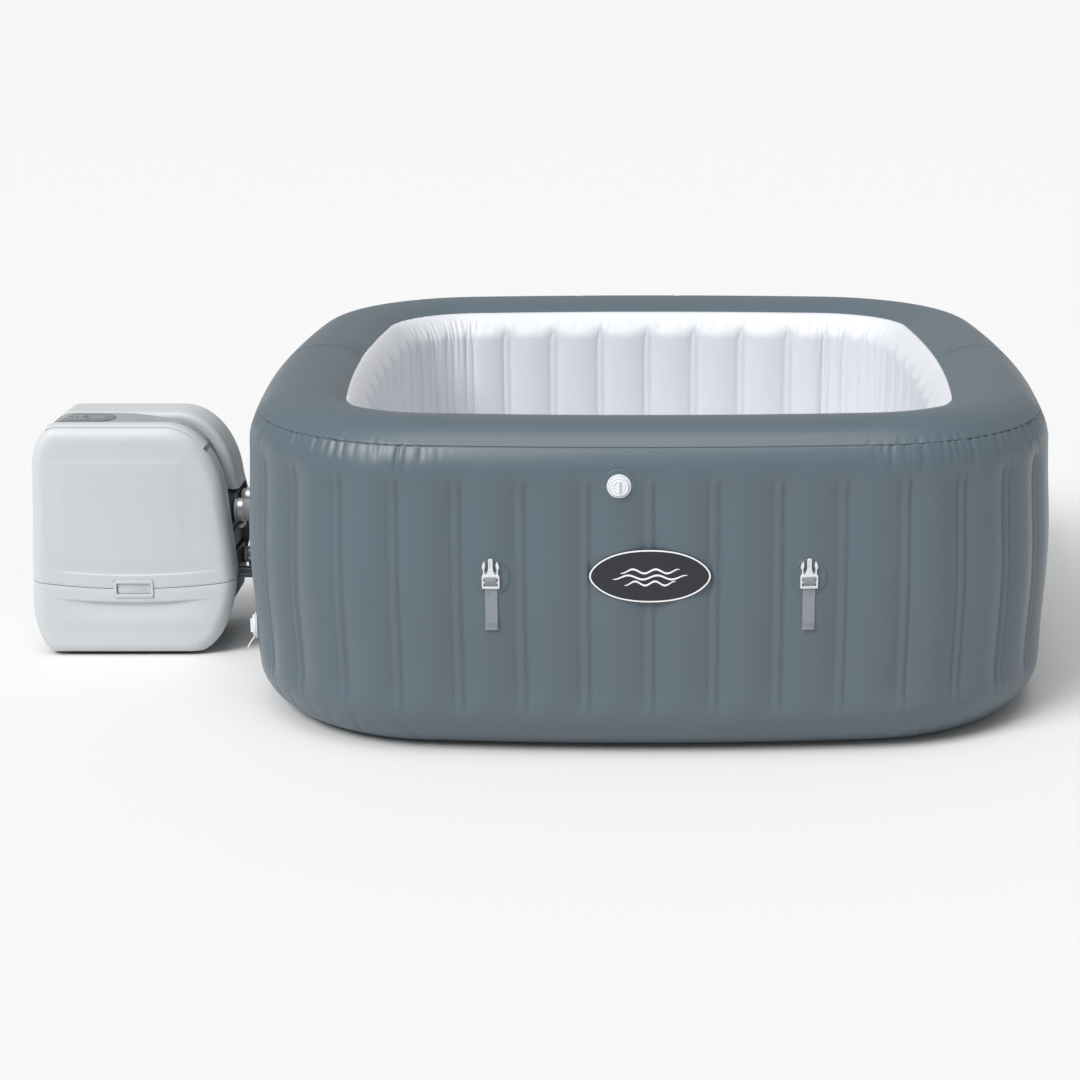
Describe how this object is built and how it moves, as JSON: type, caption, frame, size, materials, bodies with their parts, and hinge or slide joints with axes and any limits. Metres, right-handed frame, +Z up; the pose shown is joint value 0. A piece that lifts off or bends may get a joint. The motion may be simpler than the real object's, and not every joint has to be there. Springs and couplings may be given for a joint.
{
  "type": "inflatable hot tub",
  "caption": "Square inflatable hot tub with rounded corners, ribbed air walls and a white liner, joined by short clamped hoses to a free-standing heater and pump unit.",
  "frame": {"origin": "centre of the tub's footprint, on the ground", "axes": "+Z up; -Y is the tub's front, with the air valve and the badge; the pump unit stands at the -X side"},
  "size_m": [2.344, 1.8068, 0.6978],
  "materials": {
    "outer_laminate": "satin blue-grey PVC laminate",
    "liner_laminate": "satin near-white PVC laminate",
    "fitting_plastic": "milky translucent moulded plastic",
    "badge": "charcoal, with a thin pale rim",
    "webbing": "grey woven strap",
    "buckle": "light grey moulded plastic",
    "air_hose": "smoke-grey translucent hose",
    "hose_cuff": "light grey ribbed cuff",
    "clamp_steel": "stainless steel",
    "casing": "fine-grained light grey moulding",
    "button": "soft-touch key",
    "control_panel": "dark grey gloss",
    "filter_paper": "pleated filter paper",
    "circuit_board": "green board",
    "black_plastic": "black moulding"
  },
  "bodies": {
    "root": {"outer_wall": "outer_laminate", "top_panel": "outer_laminate", "liner_wall": "liner_laminate", "tub_floor": "liner_laminate", "drain_body": "fitting_plastic", "valve_body": "fitting_plastic", "badge": "badge", "strap_front_1": "webbing", "strap_front_2": "webbing", "strap_right_1": "webbing", "strap_right_2": "webbing", "strap_back_1": "webbing", "strap_back_2": "webbing", "wall_fitting_outlet": "fitting_plastic", "cuff_outlet": "hose_cuff", "clamp_outlet": "clamp_steel", "wall_fitting_inlet": "fitting_plastic", "cuff_inlet": "hose_cuff", "clamp_inlet": "clamp_steel", "wall_fitting_jet": "fitting_plastic", "cuff_jet": "hose_cuff", "clamp_jet": "clamp_steel", "wall_fitting_air": "fitting_plastic", "cuff_air": "air_hose", "clamp_air": "clamp_steel", "filter_housing": "fitting_plastic", "front_cover": "casing", "rear_cover": "casing", "inner_frame": "casing", "port_plate": "black_plastic", "base_tray": "black_plastic", "top_lid": "casing", "control_panel": "control_panel", "latch_bezel": "casing", "pump_motor": "black_plastic", "pump_volute": "black_plastic", "heater_tube": "clamp_steel", "air_blower": "black_plastic", "control_board": "circuit_board", "cable_gland": "black_plastic"},
    "valve_cap": {"valve_cap": "fitting_plastic"},
    "drain_cap": {"drain_cap": "fitting_plastic"},
    "buckle_front_1": {"buckle_front_1": "buckle"},
    "buckle_front_2": {"buckle_front_2": "buckle"},
    "buckle_right_1": {"buckle_right_1": "buckle"},
    "buckle_right_2": {"buckle_right_2": "buckle"},
    "buckle_back_1": {"buckle_back_1": "buckle"},
    "buckle_back_2": {"buckle_back_2": "buckle"},
    "clamp_screw_outlet": {"clamp_screw_outlet": "clamp_steel"},
    "clamp_screw_inlet": {"clamp_screw_inlet": "clamp_steel"},
    "clamp_screw_jet": {"clamp_screw_jet": "clamp_steel"},
    "clamp_screw_air": {"clamp_screw_air": "clamp_steel"},
    "lower_cover": {"lower_cover": "casing"},
    "latch_paddle": {"latch_paddle": "casing"},
    "button_power": {"button_power": "button"},
    "button_heat": {"button_heat": "button"},
    "button_bubbles": {"button_bubbles": "button"},
    "button_jets": {"button_jets": "button"},
    "impeller": {"impeller": "fitting_plastic"},
    "filter_cartridge": {"filter_cartridge": "filter_paper"}
  },
  "joints": [
    {"name": "valve_cap_unscrew", "type": "hinge", "parent": "root", "child": "valve_cap", "pos_m": [-0.06188, -0.88962, 0.581], "axis": [-0.0124, -0.9999, 0], "range_deg": [0, 540]},
    {"name": "drain_cap_unscrew", "type": "hinge", "parent": "root", "child": "drain_cap", "pos_m": [-0.86136, -0.52312, 0.178], "axis": [-0.978, -0.2085, 0], "range_deg": [0, 540]},
    {"name": "buckle_front_1_lift", "type": "hinge", "parent": "root", "child": "buckle_front_1", "pos_m": [-0.32132, -0.89458, 0.371], "axis": [0.9979, -0.0642, 0], "range_deg": [0, 75]},
    {"name": "buckle_front_2_lift", "type": "hinge", "parent": "root", "child": "buckle_front_2", "pos_m": [0.32132, -0.89458, 0.371], "axis": [0.9979, 0.0642, 0], "range_deg": [0, 75]},
    {"name": "buckle_right_1_lift", "type": "hinge", "parent": "root", "child": "buckle_right_1", "pos_m": [0.89458, -0.32132, 0.371], "axis": [0.0642, 0.9979, 0], "range_deg": [0, 75]},
    {"name": "buckle_right_2_lift", "type": "hinge", "parent": "root", "child": "buckle_right_2", "pos_m": [0.89458, 0.32132, 0.371], "axis": [-0.0642, 0.9979, 0], "range_deg": [0, 75]},
    {"name": "buckle_back_1_lift", "type": "hinge", "parent": "root", "child": "buckle_back_1", "pos_m": [0.32132, 0.89458, 0.371], "axis": [-0.9979, 0.0642, 0], "range_deg": [0, 75]},
    {"name": "buckle_back_2_lift", "type": "hinge", "parent": "root", "child": "buckle_back_2", "pos_m": [-0.32132, 0.89458, 0.371], "axis": [-0.9979, -0.0642, 0], "range_deg": [0, 75]},
    {"name": "clamp_screw_outlet_turn", "type": "hinge", "parent": "root", "child": "clamp_screw_outlet", "pos_m": [-0.968, -0.052, 0.2835], "axis": [0, 1, 0], "range_deg": [-720, 720]},
    {"name": "clamp_screw_inlet_turn", "type": "hinge", "parent": "root", "child": "clamp_screw_inlet", "pos_m": [-0.966, 0.052, 0.2835], "axis": [0, 1, 0], "range_deg": [-720, 720]},
    {"name": "clamp_screw_jet_turn", "type": "hinge", "parent": "root", "child": "clamp_screw_jet", "pos_m": [-0.967, 0.052, 0.1535], "axis": [0, 1, 0], "range_deg": [-720, 720]},
    {"name": "clamp_screw_air_turn", "type": "hinge", "parent": "root", "child": "clamp_screw_air", "pos_m": [-0.922, -0.052, 0.1455], "axis": [0, 1, 0], "range_deg": [-720, 720]},
    {"name": "lower_cover_pull", "type": "slide", "parent": "root", "child": "lower_cover", "axis": [0, -1, 0], "range_m": [0, 0.08]},
    {"name": "latch_press", "type": "slide", "parent": "root", "child": "latch_paddle", "axis": [0, 1, 0], "range_m": [0, 0.003], "stiffness_N_per_m": 1500, "springref_m": -0.001},
    {"name": "button_power_press", "type": "slide", "parent": "root", "child": "button_power", "axis": [0, 0, -1], "range_m": [0, 0.0008], "stiffness_N_per_m": 1500, "springref_m": -0.0005},
    {"name": "button_heat_press", "type": "slide", "parent": "root", "child": "button_heat", "axis": [0, 0, -1], "range_m": [0, 0.0008], "stiffness_N_per_m": 1500, "springref_m": -0.0005},
    {"name": "button_bubbles_press", "type": "slide", "parent": "root", "child": "button_bubbles", "axis": [0, 0, -1], "range_m": [0, 0.0008], "stiffness_N_per_m": 1500, "springref_m": -0.0005},
    {"name": "button_jets_press", "type": "slide", "parent": "root", "child": "button_jets", "axis": [0, 0, -1], "range_m": [0, 0.0008], "stiffness_N_per_m": 1500, "springref_m": -0.0005},
    {"name": "impeller_spin", "type": "hinge", "parent": "root", "child": "impeller", "pos_m": [-1.194, -0.07, 0.092], "axis": [1, 0, 0], "continuous": true},
    {"name": "filter_pull", "type": "slide", "parent": "root", "child": "filter_cartridge", "axis": [1, 0, 0], "range_m": [0, 0.09]}
  ]
}
